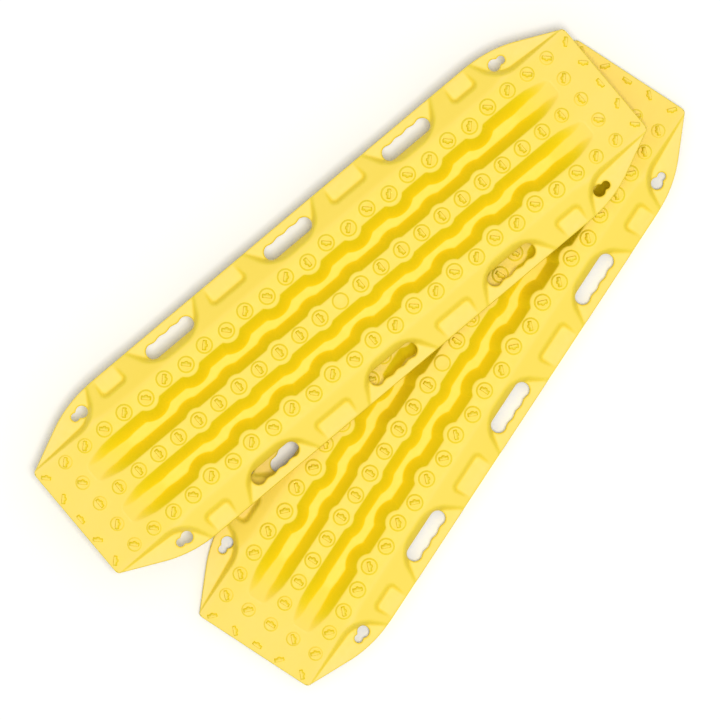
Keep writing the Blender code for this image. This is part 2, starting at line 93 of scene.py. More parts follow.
# %% Driving sizes, in metres
BOSS_HEIGHT = 4.5 * MM
TOOTH_HEIGHT = 8.0 * MM
DECK = TOTAL_HEIGHT - BOSS_HEIGHT - TOOTH_HEIGHT
DECK_FALLS = 400 * MM  # where the level deck ends
DECK_BEND = 60 * MM  # length over which it bends down
DECK_SLOPE = 0.2
SIDE_SLOPE = 0.446  # 24 degrees
WALL = 4.0 * MM
FLOOR = 5.0 * MM
STEEP = 2.4  # rise over run of every moulded wall, a draft of about 23 degrees
BEHIND = 2.7 * MM  # how far the back of such a wall lies behind its face in plan
CHANNEL = 44.4 * MM  # middle line of a channel
CHANNEL_END = 499 * MM
PAD = 21 * MM  # radius of the pads that swell into the channels
ROW_IN, ROW_OUT = 84 * MM, 89 * MM  # outer rows of bosses: pulled in over a pad, or not
SIDE_CREASE = 106 * MM
LOW_PAD = 20 * MM
HAND_X = (0.0, 256 * MM)
HAND_INNER, HAND_OUTER, HAND_HALF = 122.8 * MM, 148.8 * MM, 48.25 * MM
FINGER_PITCH, FINGER_DEPTH = 24.8 * MM, 2.2 * MM
KEY_BIG, KEY_SMALL = (447 * MM, 135.7 * MM, 10.2 * MM), (461 * MM, 135.7 * MM, 7 * MM)


def row_x(k):
    """Boss row k stands 44 mm from the next, closing up with the cube of k where the deck falls away."""
    return (44 * k - 0.0042 * k**3) * MM


def blend_min(a, b, r):
    """The lower of two heights, with a parabola of depth r/4 where they cross: a moulded round-over."""
    return np.minimum(a, b) - np.maximum(r - np.abs(a - b), 0) ** 2 / (4 * r)


def blend_max(a, b, r):
    """The higher of two heights, with the same parabola: a moulded fillet."""
    return -blend_min(-a, -b, r)


# %% [markdown]
# ## Outline and deck
#
# Seen in plan the board is a long plate whose corners are cut off by a slant, which runs into the long side
# over a wide arc. The deck is level along the middle and falls towards both ends, so that a wheel can climb on.

# %% Outline and deck as functions of the plan position
END_HALF, CORNER_X, CORNER_Y = 101 * MM, 569 * MM, 111 * MM
SLANT_X, SLANT_Y, ARC_START = 502 * MM, 142.7 * MM, 400 * MM


def half_width(ax):
    """Straight side, a cubic that leaves it level and meets the slant, the slant, and a small round corner."""
    slope = (SLANT_Y - CORNER_Y) / (SLANT_X - CORNER_X)
    span, drop = SLANT_X - ARC_START, HALF_WIDTH - SLANT_Y
    t = np.clip((ax - ARC_START) / span, 0, 1)
    square = 3 * drop + slope * span
    arc = HALF_WIDTH - square * t**2 - (drop - square) * t**3
    slant = SLANT_Y + slope * (ax - SLANT_X)
    u = np.clip((HALF_LENGTH - ax) / (HALF_LENGTH - CORNER_X), 0, 1)
    corner = END_HALF + (CORNER_Y - END_HALF) * np.sqrt(1 - (1 - u) ** 2)
    return np.where(ax > CORNER_X, corner, np.where(ax > SLANT_X, slant, arc))


def deck(ax):
    """Level, then a parabola, then a straight fall of 1 in 5."""
    past = ax - DECK_FALLS
    bend = np.clip(past, 0, DECK_BEND) ** 2 * DECK_SLOPE / (2 * DECK_BEND)
    return DECK - bend - DECK_SLOPE * np.clip(past - DECK_BEND, 0, None)


def side_slope(ay):
    """The long sides fall in a straight line from the crease to the rim."""
    return DECK - SIDE_SLOPE * (ay - SIDE_CREASE)


# %% [markdown]
# ## Channels
#
# Two channels carry sand away and stiffen the board. Their walls would be straight, but round pads under some
# of the bosses swell into them, so each wall waves. How deep a point lies follows from how far it is inside the
# crest line: the distance to the straight crest, or to the nearest pad's circle, whichever is less. Towards
# the ends the floor climbs as a ramp and the walls lean back, so that a channel runs out softly.

# %% Channel depth
EVEN, ODD = range(0, 10, 2), range(1, 9, 2)  # boss rows whose outer or middle pads reach into the channel
CREST_ROUND, FOOT_ROUND, PAD_CORNER = 2.4 * MM, 2.6 * MM, 0.7 * MM
RAMP_SLOPE, RAMP_ROUND = 0.385, 3 * MM
OUTSIDE = -5 * MM  # stands for any point past the channel's end


def channel_half(ax):
    """Half width at the crest: constant, then drawn in towards the channel's end."""
    stops = np.array([435, 457, 480, 492, 499]) * MM
    return np.interp(ax, stops, np.array([28.4, 27.3, 22.5, 18.5, 15.0]) * MM)


def wall_slope(ax):
    """Rise over run of the channel walls: steep, and gentler where the channel runs out at its end."""
    stops = np.array([400, 435, 457, 480, 499]) * MM
    return np.interp(ax, stops, [STEEP, 1.9, 1.45, 0.9, 0.6])


def inside_channel(ax, ay):
    """Distance in from the crest line, with the corners between wall and pads rounded."""
    d = channel_half(ax) - np.abs(ay - CHANNEL)
    for rows, line in ((ODD, 0.0), (EVEN, ROW_IN)):
        for k in rows:
            d = blend_min(d, np.hypot(ax - row_x(k), ay - line) - PAD, PAD_CORNER)
    return np.where(ax > CHANNEL_END, OUTSIDE, d)


def channel_floor(ax):
    """The channel's floor is level, and climbs to the deck as a ramp at either end."""
    top = deck(np.array(CHANNEL_END))
    return blend_max(np.full_like(ax, FLOOR), top - RAMP_SLOPE * (CHANNEL_END - ax), RAMP_ROUND)


def channel_surface(ax, ay, skin, shift):
    """Deck less the depth; skin and shift move it down and back, which gives the underside."""
    level = deck(ax)
    depth = blend_max(wall_slope(ax) * (inside_channel(ax, ay) + shift), np.zeros_like(ax), CREST_ROUND)
    most = np.maximum(level - channel_floor(ax), 0)
    if skin:
        most = np.maximum(level - skin - np.maximum(channel_floor(ax) - FLOOR, 0), 0)
    depth = np.maximum(blend_min(depth, most, FOOT_ROUND), 0)
    return level - skin - depth


# %% [markdown]
# ## Recesses along the sides
#
# Around each hand hole the side is cut down to a low pad, so that the grip lies below the wheel. Between the
# holes are shallow square pockets, and each corner has a flat pad with a keyhole for a mounting pin. All are
# the same form: a flat floor inside an outline, and a steep wall that rises from it until it meets the side.

# %% Recess walls
RECESS_ROUND = 3 * MM


def round_box(x, y, cx, cy, hx, hy, r):
    """Signed distance to a rectangle with corners of radius r, negative inside."""
    past_x, past_y = np.abs(x - cx) - hx + r, np.abs(y - cy) - hy + r
    inside = np.minimum(np.maximum(past_x, past_y), 0)
    return np.hypot(np.maximum(past_x, 0), np.maximum(past_y, 0)) + inside - r


def rounded_corner(x, y, a, b, c, r):
    """Signed distance to two straight edges a-b and b-c (in mm) that meet in a fillet of radius r."""
    a, b, c = (np.array(p) * MM for p in (a, b, c))
    past = []
    for start, stop in ((a, b), (b, c)):
        way = (stop - start) / np.hypot(*(stop - start))
        past.append((x - b[0]) * -way[1] + (y - b[1]) * way[0] + r)
    inside = np.minimum(np.maximum(*past), 0)
    return np.hypot(*(np.maximum(p, 0) for p in past)) + inside - r


def recesses(ax, ay):
    """Distance and floor height of every recess of the long sides."""
    out = 0.1  # the boxes run past the rim
    for x in HAND_X:
        aside = np.abs(ax - x)
        yield rounded_corner(aside, ay, (73.5, 164.3), (43, 122.8), (0, 122.8), 14 * MM), LOW_PAD
    for x, half, inner in ((130, 33.5, 133), (379, 22, 132.5)):
        yield round_box(ax, ay, x * MM, inner * MM + out, half * MM, out, 6 * MM), 25 * MM
    yield rounded_corner(ax, ay, (590, 109.7), (443, 118.4), (410, 172), 20 * MM), LOW_PAD


def top_height(x, y):
    """Top of the shell: the channels, cut by the side slope and by every recess."""
    ax, ay = np.abs(x), np.abs(y)
    z = blend_min(channel_surface(ax, ay, 0.0, 0.0), side_slope(ay), RECESS_ROUND)
    for d, floor in recesses(ax, ay):
        wall = floor + blend_max(STEEP * d, np.zeros_like(d), RECESS_ROUND)
        z = blend_min(z, wall, RECESS_ROUND)
    return z


def under_height(x, y):
    """Underside: the same forms one wall lower, with solid grips outside the hand holes."""
    ax, ay = np.abs(x), np.abs(y)
    z = blend_min(channel_surface(ax, ay, WALL, BEHIND), side_slope(ay) - WALL, RECESS_ROUND)
    for d, floor in recesses(ax, ay):
        wall = floor - WALL + blend_max(STEEP * (d - BEHIND), np.zeros_like(d), RECESS_ROUND)
        z = blend_min(z, wall, RECESS_ROUND)
    for x0 in HAND_X:
        grip = round_box(ax, ay, x0, HAND_OUTER - 3.5 * MM + 0.05, 58 * MM, 0.05, 4 * MM)
        z = blend_min(z, 9 * MM + STEEP * np.maximum(grip, 0), 1 * MM)
    return z


def skirt_bottom(ax):
    """The rim's skirt reaches the ground, and is lifted at the hand holes and at the ends."""
    stops = np.array([60, 77, 179, 196, 316, 333, 411.5, 448]) * MM
    return np.interp(ax, stops, np.array([9, 0, 0, 9, 9, 0, 0, 8]) * MM)


# %% [markdown]
# ## A grid that follows the forms
#
# A plain square grid would give every slanting crest a saw edge. Here the lines that run along the board are
# bent to follow the crests and the feet of the channel walls, and lie close together where the surface turns.
# Lines across the board are even. That keeps the shell crisp with few faces.

# %% Plan positions of the grid
STEP_X = 2.8 * MM
RIM = 2.0 * MM  # the grid stops this far inside the rim, and a rounded profile takes over
LIP = 4.5 * MM  # the same on the underside, inside the skirt


def columns():
    """Even steps, wider on the plain ends, and closer again at the last corner."""
    middle = np.arange(0, CHANNEL_END, STEP_X)
    flat = np.linspace(CHANNEL_END, 560 * MM, 16)
    last = np.linspace(560 * MM, HALF_LENGTH - RIM, 8)[1:]
    half = np.concatenate([middle, flat, last])
    return np.concatenate([-half[:0:-1], half])


def guide_lines(ax):
    """Crest and foot lines of one channel: straight, or the circles of the pads where those reach further."""
    half = channel_half(ax)
    run = np.maximum((deck(ax) - channel_floor(ax)) / wall_slope(ax), 3 * MM)

    def reach(rows, r):
        bump = [np.sqrt(np.maximum(r**2 - (ax - row_x(k)) ** 2, 0)) for k in rows]
        return np.max(bump, axis=0)

    crest_in = np.maximum(CHANNEL - half, reach(ODD, PAD))
    foot_in = np.maximum(CHANNEL - half + run, reach(ODD, PAD + run))
    foot_out = np.minimum(CHANNEL + half - run, ROW_IN - reach(EVEN, PAD + run))
    crest_out = np.minimum(CHANNEL + half, ROW_IN - reach(EVEN, PAD))
    return crest_in, foot_in, foot_out, crest_out


SIDE_LINES = [106, 108.3, 110.6, 112.9, 115.2, 117.2, 119.1, 120.8, 123, 125.2, 127.3, 129.2, 131.1, 133,
              135.3, 137.8, 140.3, 142.8, 145.3, 148, 150.8, 152.7, 155, 157.3, 159.8, 162.3]
SPACING = [  # shares of the way from one guide line to the next, closer where the surface turns
    [0, 0.3, 0.6, 0.82, 0.94],
    [0, 0.06, 0.2, 0.5, 0.8, 0.94],
    [0, 0.05, 0.2, 0.5, 0.8, 0.95],
    [0, 0.06, 0.2, 0.5, 0.8, 0.94],
    [0, 0.04, 0.15, 0.35, 0.6, 0.85],
    (np.array(SIDE_LINES) - 106) / (162.3 - 106),
]


def plan_grid(inset):
    """X and Y of every grid point; rows are placed between the guide lines in fixed shares."""
    x = columns()
    ax = np.abs(x)
    rim = half_width(ax) - inset
    crease = np.minimum(SIDE_CREASE, rim - 4 * MM)
    lines = [np.zeros_like(x), *guide_lines(ax), crease, rim]
    half = []
    for start, stop, shares in zip(lines, lines[1:], SPACING):
        half += [start + (stop - start) * share for share in shares]
    half = np.array(half)
    y = np.concatenate([-half[:0:-1], half])
    x = np.broadcast_to(x, y.shape).copy()
    if inset > RIM:
        x *= (HALF_LENGTH - inset) / (HALF_LENGTH - RIM)
    return x, y


# %% [markdown]
# ## Openings and rims
#
# Hand holes and keyholes are cut out of the grid, and the grid points around each are pulled onto a line just
# outside the hole. From there a small rounded profile is carried round the opening, down through the wall and
# round onto the underside. The points have to be taken in the order in which the border runs: sorted by angle
# they would swap places at a keyhole's narrow neck. The board's own rim gets a longer profile, its skirt.

# %% Outlines of the openings
def arc(cx, cy, r, start, stop, count):
    """Points of a circular arc, angles in degrees."""
    a = np.radians(np.linspace(start, stop, count))
    return np.stack([cx + r * np.cos(a), cy + r * np.sin(a)], axis=1)


def hand_outline(cx, sign, grow):
    """Slot with round ends and a wavy outer edge for the fingers; grow moves the line outwards, unwaved."""
    r = (HAND_OUTER - HAND_INNER) / 2
    flat, mid = HAND_HALF - r, (HAND_OUTER + HAND_INNER) / 2
    dx = np.linspace(flat, -flat, 120)
    wave = 0.0 if grow else 0.5 * FINGER_DEPTH * (1 + np.cos(2 * math.pi * dx / FINGER_PITCH))
    outer = np.stack([dx, mid + r + grow - wave * np.clip((flat - np.abs(dx)) / (4 * MM), 0, 1)], axis=1)
    inner = np.stack([-dx, np.full_like(dx, mid - r - grow)], axis=1)
    ends = arc(flat, mid, r + grow, -90, 90, 60), arc(-flat, mid, r + grow, 90, 270, 60)
    line = np.concatenate([ends[0], outer, ends[1], inner])
    return line * (1, sign) + (cx, 0)


def key_outline(sx, sy, grow):
    """Keyhole: a large and a small circle, joined by a straight neck 12 mm wide."""
    (bx, by, br), (kx, _, kr) = KEY_BIG, KEY_SMALL
    neck = 6 * MM + grow
    a, b = (math.degrees(math.asin(neck / (r + grow))) for r in (br, kr))
    big, small = arc(bx, by, br + grow, a, 360 - a, 150), arc(kx, by, kr + grow, b - 180, 180 - b, 100)
    necks = [np.linspace(p, q, 20) for p, q in ((big[-1], small[0]), (small[-1], big[0]))]
    return np.concatenate([big, necks[0], small, necks[1]]) * (sx, sy)


def all_openings(grow):
    """(centre, outline) of the ten openings of a board."""
    mid = (HAND_INNER + HAND_OUTER) / 2
    found = [((x, s * mid), hand_outline(x, s, grow)) for x in (-HAND_X[1], 0.0, HAND_X[1]) for s in (1, -1)]
    key = (KEY_BIG[0] + 5 * MM, KEY_BIG[1])
    corners = [(sx, sy) for sx in (1, -1) for sy in (1, -1)]
    return found + [((sx * key[0], sy * key[1]), key_outline(sx, sy, grow)) for sx, sy in corners]


def board_outline():
    """The rim in plan, as closely spaced points."""
    x = np.concatenate([np.linspace(0, CORNER_X, 900), CORNER_X + (HALF_LENGTH - CORNER_X) * np.sin(
        np.linspace(0, math.pi / 2, 40)[1:])])
    quarter = np.stack([x, half_width(x)], axis=1)
    end = np.stack([np.full(160, HALF_LENGTH), np.linspace(END_HALF, 0, 160)], axis=1)
    quarter = np.concatenate([quarter, end[1:]])
    half = np.concatenate([quarter, quarter[::-1] * (1, -1)])
    return np.concatenate([half, half * (-1, 1)])


def nearest(points, line):
    """For each point the number of the closest one of a line's points."""
    found = np.empty(len(points), int)
    for part in np.array_split(np.arange(len(points)), 8):
        gap = np.hypot(*(points[part, None] - line[None]).transpose(2, 0, 1))
        found[part] = gap.argmin(axis=1)
    return found


def border_walk(faces):
    """Border points of a patch of faces in walking order; each doubling adds as many points as there are."""
    edges = np.stack([faces, np.roll(faces, -1, axis=1)], axis=-1).reshape(-1, 2)
    size = faces.max() + 1
    rim = edges[~np.isin(edges @ (size, 1), edges @ (1, size))]
    rim = rim[np.argsort(rim[:, 0])]
    jump = np.searchsorted(rim[:, 0], rim[:, 1])
    order = np.zeros(1, int)
    while len(order) < len(rim):
        order = np.concatenate([order, jump[order]])
        jump = jump[jump]
    return rim[order[:len(rim)], 0]


def along(points, line):
    """Places of a loop of points along a closed line, evened out so that they never step back."""
    count = len(line)
    path = np.unwrap(nearest(points, line), period=count)
    even = path[0] + np.arange(len(path)) / len(path) * math.copysign(count, path[-1] - path[0])
    drift = path - even
    for _ in range(4):
        drift = (np.roll(drift, 1) + 2 * drift + np.roll(drift, -1)) / 4
    return (even + drift) % count


def at(place, line):
    """Points at fractional places along a closed line."""
    closed = np.concatenate([line, line[:1]])
    return np.stack([np.interp(place, np.arange(len(closed)), closed[:, i]) for i in (0, 1)], axis=1)


def inside_line(points, line):
    """Even-odd test: how many edges of the line a ray along +X crosses."""
    x, y = points[:, 0, None], points[:, 1, None]
    a, b = line, np.roll(line, -1, axis=0)
    rise = np.where(a[:, 1] == b[:, 1], 1e-12, b[:, 1] - a[:, 1])
    cross = ((a[:, 1] > y) != (b[:, 1] > y)) & (x < (b[:, 0] - a[:, 0]) * (y - a[:, 1]) / rise + a[:, 0])
    return cross.sum(axis=1) % 2 == 1


# %% [markdown]
# ## The shell as one closed mesh
#
# Top and underside use the same grid, so their borders have the same points in the same order, and each
# border is joined to its partner by rings of a profile: round over the edge, down the wall, and round again
# underneath. That leaves no open edge.

# %% Build the shell
HOLE_GROW = 3.8 * MM  # the grid ends this far outside an opening


def grid_faces(rows, cols):
    """Corner numbers of all cells, counter-clockwise seen from above."""
    n = np.arange(rows * cols).reshape(rows, cols)
    return np.stack([n[:-1, :-1], n[:-1, 1:], n[1:, 1:], n[1:, :-1]], axis=-1).reshape(-1, 4)


def rim_loop(rows, cols):
    """Numbers of the grid's border points, counter-clockwise seen from above."""
    n = np.arange(rows * cols).reshape(rows, cols)
    return np.concatenate([n[0, :-1], n[:-1, -1], n[-1, :0:-1], n[:0:-1, 0]])


def band(upper, lower):
    """Quads between two rings of point numbers; both run counter-clockwise and lower lies below or inside."""
    return np.stack([upper, lower, np.roll(lower, -1), np.roll(upper, -1)], axis=1)


def shell_mesh():
    """Points and quads of the closed shell of one board."""
    x, y = plan_grid(RIM)
    rows, cols = x.shape
    flat = np.stack([x.ravel(), y.ravel()], axis=1)
    under = np.stack([v.ravel() for v in plan_grid(LIP)], axis=1)
    faces = grid_faces(rows, cols)
    middle = flat[faces].mean(axis=1)
    keep = np.ones(len(faces), bool)
    loops = []
    for (centre, wide), (_, line) in zip(all_openings(HOLE_GROW), all_openings(0.0)):
        close = np.abs(middle - centre).max(axis=1) < 70 * MM
        gone = np.zeros(len(faces), bool)
        gone[close] = inside_line(middle[close], wide)
        keep &= ~gone
        border = border_walk(faces[gone])
        place = along(flat[border], wide)
        flat[border] = at(place, wide)
        under[border] = flat[border]
        loops.append((border, at(place, line)))
    faces = faces[keep]
    outer = rim_loop(rows, cols)
    rim_line = board_outline()
    base = rim_line[nearest(flat[outer], rim_line)]
    inward = (flat[outer] - base) / np.maximum(np.linalg.norm(flat[outer] - base, axis=1), 1e-9)[:, None]
    under[outer] = base + inward * LIP
    top = np.column_stack([flat, top_height(*flat.T)])
    low = np.column_stack([under, under_height(*under.T)])
    points, quads, count = [top, low], [faces, faces[:, ::-1] + len(top)], 2 * len(top)

    def rings(first, last, profile, start, out):
        """Carries a profile of (distance from the line, height) round a loop and joins it to both borders."""
        nonlocal count
        before = first
        for distance, height in profile:
            ring = np.column_stack([start + out * distance, height(start + out * distance)])
            numbers = count + np.arange(len(ring))
            points.append(ring)
            quads.append(band(before, numbers))
            before, count = numbers, count + len(ring)
        quads.append(band(before, last))

    def over(drop, sign=1):
        height = top_height if sign > 0 else under_height
        return lambda p: height(*p.T) - sign * drop * MM

    def skirt(lift):
        return lambda p: skirt_bottom(np.abs(p[:, 0])) + lift * MM

    outside = [(1.7, over(0.12)), (1.15, over(0.5)), (0.85, over(1.2)), (0.7, over(2.3)), (0, skirt(1.5)),
               (0.4, skirt(0.4)), (1.5, skirt(0)), (2.8, skirt(0)), (3.6, skirt(0.5)), (4.0, skirt(1.6))]
    outside = [(d * MM, h) for d, h in outside]
    rings(outer, outer + len(top), outside, base, inward)
    hole = [(3.0, over(0.06)), (2.0, over(0.4)), (1.0, over(1.15)), (0.3, over(2.0)), (0, over(2.8)),
            (0, over(0.9, -1)), (0.3, over(0.3, -1)), (1.0, over(0, -1))]
    for border, start in loops:
        out = flat[border] - start
        out /= np.linalg.norm(out, axis=1)[:, None]
        ring = border[::-1]
        rings(ring, ring + len(top), [(d * MM, h) for d, h in hole], start[::-1], out[::-1])
    return np.concatenate(points), np.concatenate(quads)


def painted_light_of(points, upright):
    """Painted light per point: sheen on level faces and more on ends and pads, shade on steep faces and in
    channels.
    """
    ax, ay, height = np.abs(points).T
    # Painted light: the open sides are painted at least half pale, walls included, as more light reaches them.
    beside = np.clip((ay - 103 * MM) / (6 * MM), 0, 1)
    # Painted sheen: the ends are painted paler, as the light above reaches them more openly.
    painted_end_sheen = 0.35 * np.clip((ax - 440 * MM) / (90 * MM), 0, 1)
    # Painted shade: low points inside the channels are painted deeper.
    in_channel = (ay < 90 * MM) * (ax < CHANNEL_END)
    channel_shade = 0.2 * np.clip((26 * MM - height) / (20 * MM), 0, 1) * in_channel
    # How level the face is sets the painted sheen; steep faces get the painted shade colour.
    level = np.clip((upright - 0.45) / 0.52, 0, 1)
    level = level**2 * (3 - 2 * level)
    # Painted highlight: flat pads on the open sides are painted paler still.
    pad_highlight = 0.4 * beside * np.clip((upright - 0.95) / 0.04, 0, 1)
    return np.maximum(level, 0.5 * beside) + pad_highlight + level * (painted_end_sheen - channel_shade)


def make_piece(name, points, faces, place):
    """A smooth mesh object at the origin with its place in its points, and its painted light and shade as an
    attribute.
    """
    used, faces = np.unique(faces, return_inverse=True)
    placed = points[used] @ np.array(place.to_3x3()).T + np.array(place.translation)
    mesh = bpy.data.meshes.new(name)
    mesh.from_pydata(placed, [], faces.reshape(-1, 4).tolist())
    mesh.shade_smooth()
    normals = np.empty(len(placed) * 3)
    mesh.vertex_normals.foreach_get("vector", normals)
    # Painted light and shade from how upright each point's normal is, stored on the points.
    painted_light = painted_light_of(points[used], normals[2::3])
    mesh.attributes.new("painted_light", "FLOAT", "POINT").data.foreach_set("value", painted_light)
    piece = bpy.data.objects.new(name, mesh)
    bpy.context.scene.collection.objects.link(piece)
    return piece


SHELL = shell_mesh()
print(f"shell: {len(SHELL[0])} points, {2 * len(SHELL[1])} triangles")

# %% [markdown]
# ## Bosses and teeth
#
# Eighty-eight teeth stand on each board. A tooth is a short bar, drawn in towards its top so that the mould
# lets go, with a fin that stiffens the flank on the side of the board's middle. It stands on a low round boss
# with a raised ring. The boss is a turned profile whose foot follows the deck. The tooth is an outline carried
# up through five levels. Both are rings of points stacked up, so they share one function for their faces.

# %% Lists of bosses
def boss_list():
    """Centre, radius, height and tooth direction in degrees (None on the plain middle boss) of every boss."""
    found = []
    for k in range(-13, 14):
        a, s = abs(k), (1 if k > 0 else -1)
        radius = {10: 13.7, 11: 12.5, 12: 12.0, 13: 0.0}.get(a, 14.2) * MM
        height = {10: 4.0, 11: 3.5, 12: 3.0, 13: 0.0}.get(a, 4.5) * MM
        found.append((s * row_x(a), 0.0, radius, height, None if k == 0 else 90.0))
        line = ROW_IN if a % 2 == 0 and a <= 8 else ROW_OUT
        lean = 90.0 if k == 0 else s * (45.0 if a % 2 == 0 else -45.0)
        lean = {12: -45.0 * s, 13: 45.0 * s}.get(a, lean)
        found += [(s * row_x(a), e * line, radius, height, e * lean) for e in (1, -1)]
        if a > 11:
            found += [(s * row_x(a), e * 44.5 * MM, radius, height, -e * lean) for e in (1, -1)]
    return found


BOSSES = boss_list()
print(len([b for b in BOSSES if b[4] is not None]), "teeth")

# %% Faces of stacked rings
def strip_caps(rings, half):
    """Closes each ring with quads straight across, from points i and i + 1 to their partners opposite."""
    i = np.arange(half - 1)
    corners = rings[:, i], rings[:, i + 1], rings[:, -i - 2], rings[:, -i - 1]
    return np.stack(corners, axis=-1).reshape(-1, 4)


def tube_faces(count, levels, sides):
    """Quads of several tubes of stacked rings, each closed by a cap at the top and at the bottom."""
    n = np.arange(count * levels * sides).reshape(count, levels, sides)
    nxt = np.roll(n, -1, axis=2)
    walls = np.stack([n[:, :-1], nxt[:, :-1], nxt[:, 1:], n[:, 1:]], axis=-1).reshape(-1, 4)
    bottom = strip_caps(n[:, 0], sides // 2)[:, ::-1]
    return np.concatenate([walls, strip_caps(n[:, -1], sides // 2), bottom])


# %% Turned bosses
BOSS_SIDES = 28
BOSS_PROFILE = [(1.07, -0.10), (1.03, 0.03), (0.99, 0.14), (0.84, 0.88), (0.81, 0.97), (0.77, 1.0),
                (0.69, 0.99), (0.59, 0.86), (0.10, 0.81)]


def bosses(plain):
    """Each profile point (share of radius, share of height) is swept round the boss's upright axis."""
    chosen = [b for b in BOSSES if b[2] > 0 and (b[4] is None) == plain]
    centre, radius, height = (np.array([b[i] for b in chosen]) for i in (slice(0, 2), 2, 3))
    share = np.array([(r, max(h, 0.9) if plain and r < 0.9 else h) for r, h in BOSS_PROFILE])  # plain: flat top
    angle = np.arange(BOSS_SIDES) * 2 * math.pi / BOSS_SIDES
    ring = np.stack([np.cos(angle), np.sin(angle)], axis=1)
    plan = centre[:, None, None] + ring[None, None] * (radius[:, None] * share[:, 0])[..., None, None]
    rise = np.broadcast_to((height[:, None] * share[:, 1])[..., None], plan.shape[:3])
    z = top_height(plan[..., 0], plan[..., 1]) + rise
    points = np.concatenate([plan, z[..., None]], axis=-1).reshape(-1, 3)
    return points, tube_faces(len(chosen), len(share), BOSS_SIDES)


# %% Teeth
# height above the boss, half length, inner and outer flank, and how far the fin reaches
TOOTH_LEVELS = np.array([
    (-0.8, 9.0, 3.9, -3.2, 6.0),
    (0.4, 8.7, 3.6, -3.0, 5.7),
    (2.6, 8.0, 3.0, -2.8, 4.9),
    (6.6, 7.0, 1.5, -2.5, 3.0),
    (8.0, 6.2, -0.9, -2.3, -0.7),
]) * MM


def tooth_outline(length, inner, outer, fin):
    """A bar from end to end along its inner flank, where the fin stands, and back along the outer one."""
    stations = np.array([1.0, 0.93, 0.62, 0.36, 0.26, 0.1])
    fullness = np.array([0.55, 1, 1, 1, 1, 1])  # the bar's ends are rounded
    middle = (inner + outer) / 2
    there = middle + (inner - middle) * fullness
    there[4:] = middle + (inner - middle) * 0.2 + (fin - middle) * 0.8, fin
    back = middle + (outer - middle) * fullness
    stations = np.concatenate([stations, -stations[::-1]]) * length
    there, back = np.concatenate([there, there[::-1]]), np.concatenate([back, back[::-1]])
    return np.stack([np.concatenate([stations, stations[::-1]]), np.concatenate([there, back[::-1]])], axis=1)


def teeth():
    """The outlines of all levels, turned to each tooth's direction and set on its boss, fins to the middle."""
    chosen = [b for b in BOSSES if b[4] is not None]
    centre = np.array([b[:2] for b in chosen])
    base = top_height(centre[:, 0], centre[:, 1]) + np.array([b[3] for b in chosen])
    angle = np.radians([b[4] for b in chosen])
    angle += np.where(np.sin(angle) * centre[:, 0] < 0, math.pi, 0)
    outline = np.stack([tooth_outline(*level[1:]) for level in TOOTH_LEVELS])
    c, s = np.cos(angle)[:, None, None], np.sin(angle)[:, None, None]
    u, v = outline[None, ..., 0], outline[None, ..., 1]
    x = centre[:, 0, None, None] + u * c - v * s
    y = centre[:, 1, None, None] + u * s + v * c
    z = np.broadcast_to(base[:, None, None] + TOOTH_LEVELS[None, :, 0, None], x.shape)
    points = np.stack([x, y, z], axis=-1).reshape(-1, 3)
    return points, tube_faces(len(chosen), len(TOOTH_LEVELS), outline.shape[1])


def studs_mesh():
    """Bosses, the plain middle boss and teeth as one set of points and quads."""
    points, faces, count = [], [], 0
    for p, f in (bosses(False), bosses(True), teeth()):
        points.append(p)
        faces.append(f + count)
        count += len(p)
    return np.concatenate(points), np.concatenate(faces)


STUDS = studs_mesh()
print(f"studs: {2 * len(STUDS[1])} triangles")

# %% [markdown]
# ## Moulded glass-filled nylon
#
# The boards are nylon with short glass fibre, coloured right through and moulded in a steel tool with a fine
# spark-eroded texture, which gives a satin skin. The colour has light and shade painted in: the level faces get
# a painted pale sheen of the light above, and the steep walls a painted deep shade, as if they saw only other
# yellow walls. This painted light is stored at the mesh's points, so it belongs to the surface and not to the
# view. A fine grain bump, faint flow lines along the board and small changes of gloss keep the skin from
# looking like paint.

# %% Helpers for materials
def linear(hex_colour):
    """sRGB hex to linear RGBA."""
    parts = [int(hex_colour[i:i + 2], 16) / 255 for i in (0, 2, 4)]
    return (*(c / 12.92 if c < 0.04045 else ((c + 0.055) / 1.055) ** 2.4 for c in parts), 1.0)


def node(tree, kind, settings=None, **links):
    """Adds a node; settings are its properties or sockets, links name the sockets that others feed."""
    made = tree.nodes.new(kind)
    for key, value in (settings or {}).items():
        if isinstance(key, int) or key in made.inputs:
            made.inputs[key].default_value = value
        else:
            setattr(made, key, value)
    for key, source in links.items():
        tree.links.new(source, made.inputs[int(key[1:]) if key[1:].isdigit() else key.replace("_", " ")])
    return made


# %% Nylon
GRAIN = 0.9 * MM  # the real spark-eroded grain is about 0.1 mm; drawn coarser so that it shows
FLOW = 45 * MM  # width of the flow lines
RUB = 9 * MM  # size of the patches rubbed a little smoother
# Painted light: the pale yellows are a painted sheen on level faces, varied by flow lines; the deep one is
# painted shade.
SHEEN_YELLOW, FLOW_SHEEN_YELLOW, SHADE_YELLOW = "FADD5C", "F8DA50", "F4DD02"


